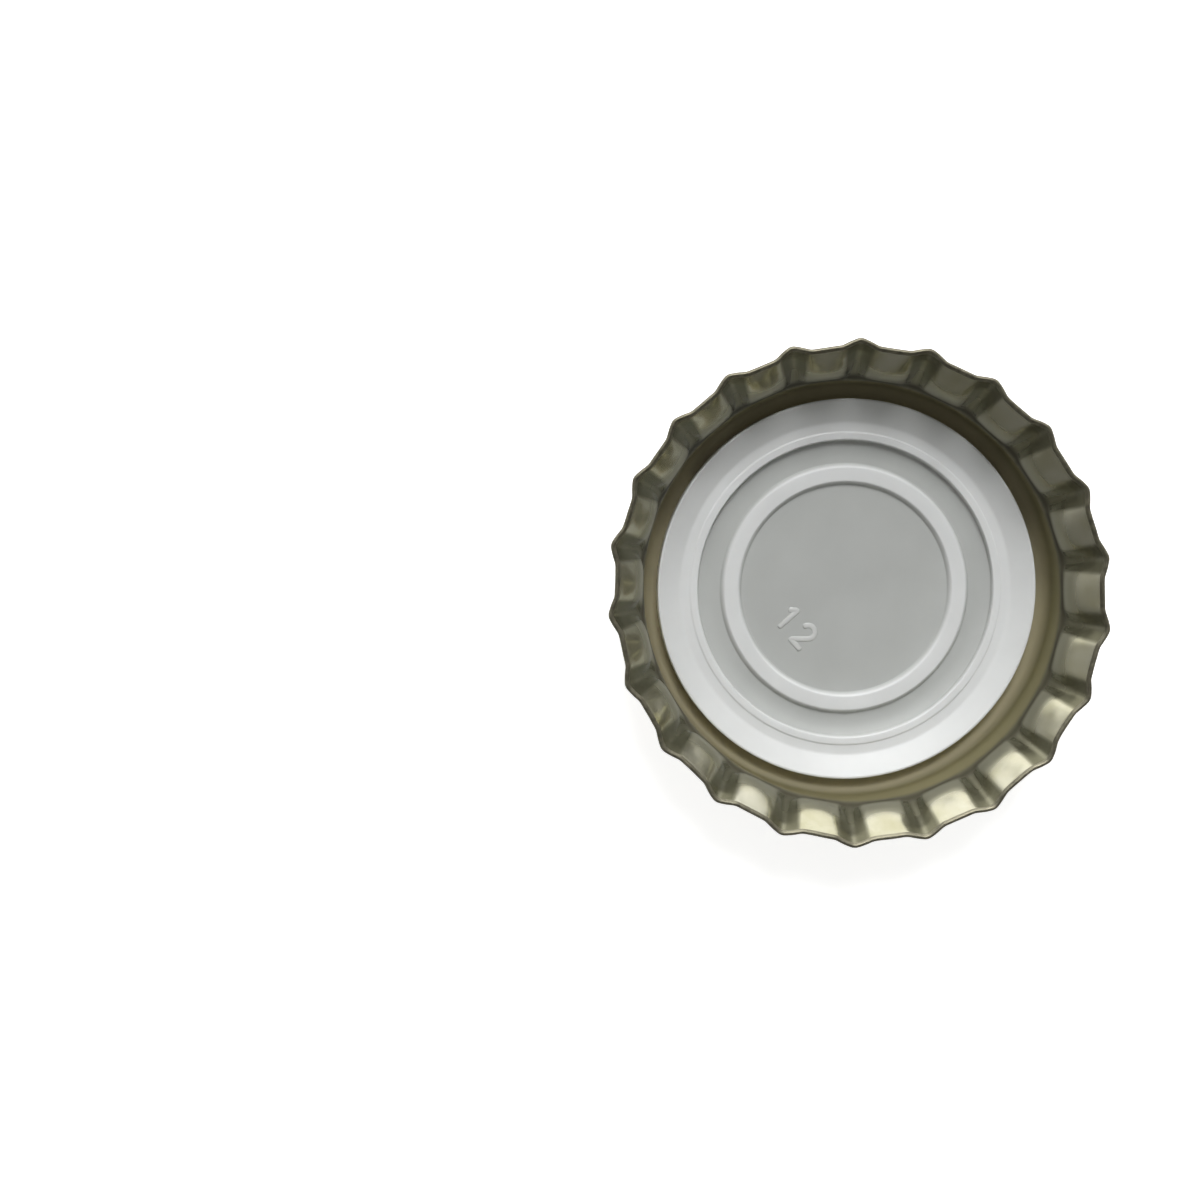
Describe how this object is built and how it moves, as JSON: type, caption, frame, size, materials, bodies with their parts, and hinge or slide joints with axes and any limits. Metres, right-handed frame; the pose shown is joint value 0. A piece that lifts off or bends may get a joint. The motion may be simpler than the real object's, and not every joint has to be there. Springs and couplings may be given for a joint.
{
  "type": "crown bottle cap",
  "caption": "Crown bottle cap lying mouth up: a pressed sheet metal shell with a crimped, flaring skirt, and a moulded sealing liner inside it.",
  "frame": {"origin": "centre of the panel's flat outer face, on which the cap lies", "axes": "+Z along the cap's axis, out of its mouth; a crest of the skirt lies on +Y and the flat of a crimp on +X"},
  "size_m": [0.032, 0.032, 0.006],
  "materials": {
    "lacquered_tinplate": "satin gold lacquer over bright tinplate, glossier inside",
    "liner_compound": "smooth, slightly translucent white moulding compound"
  },
  "bodies": {
    "root": {"shell": "lacquered_tinplate", "liner": "liner_compound"}
  },
  "joints": []
}
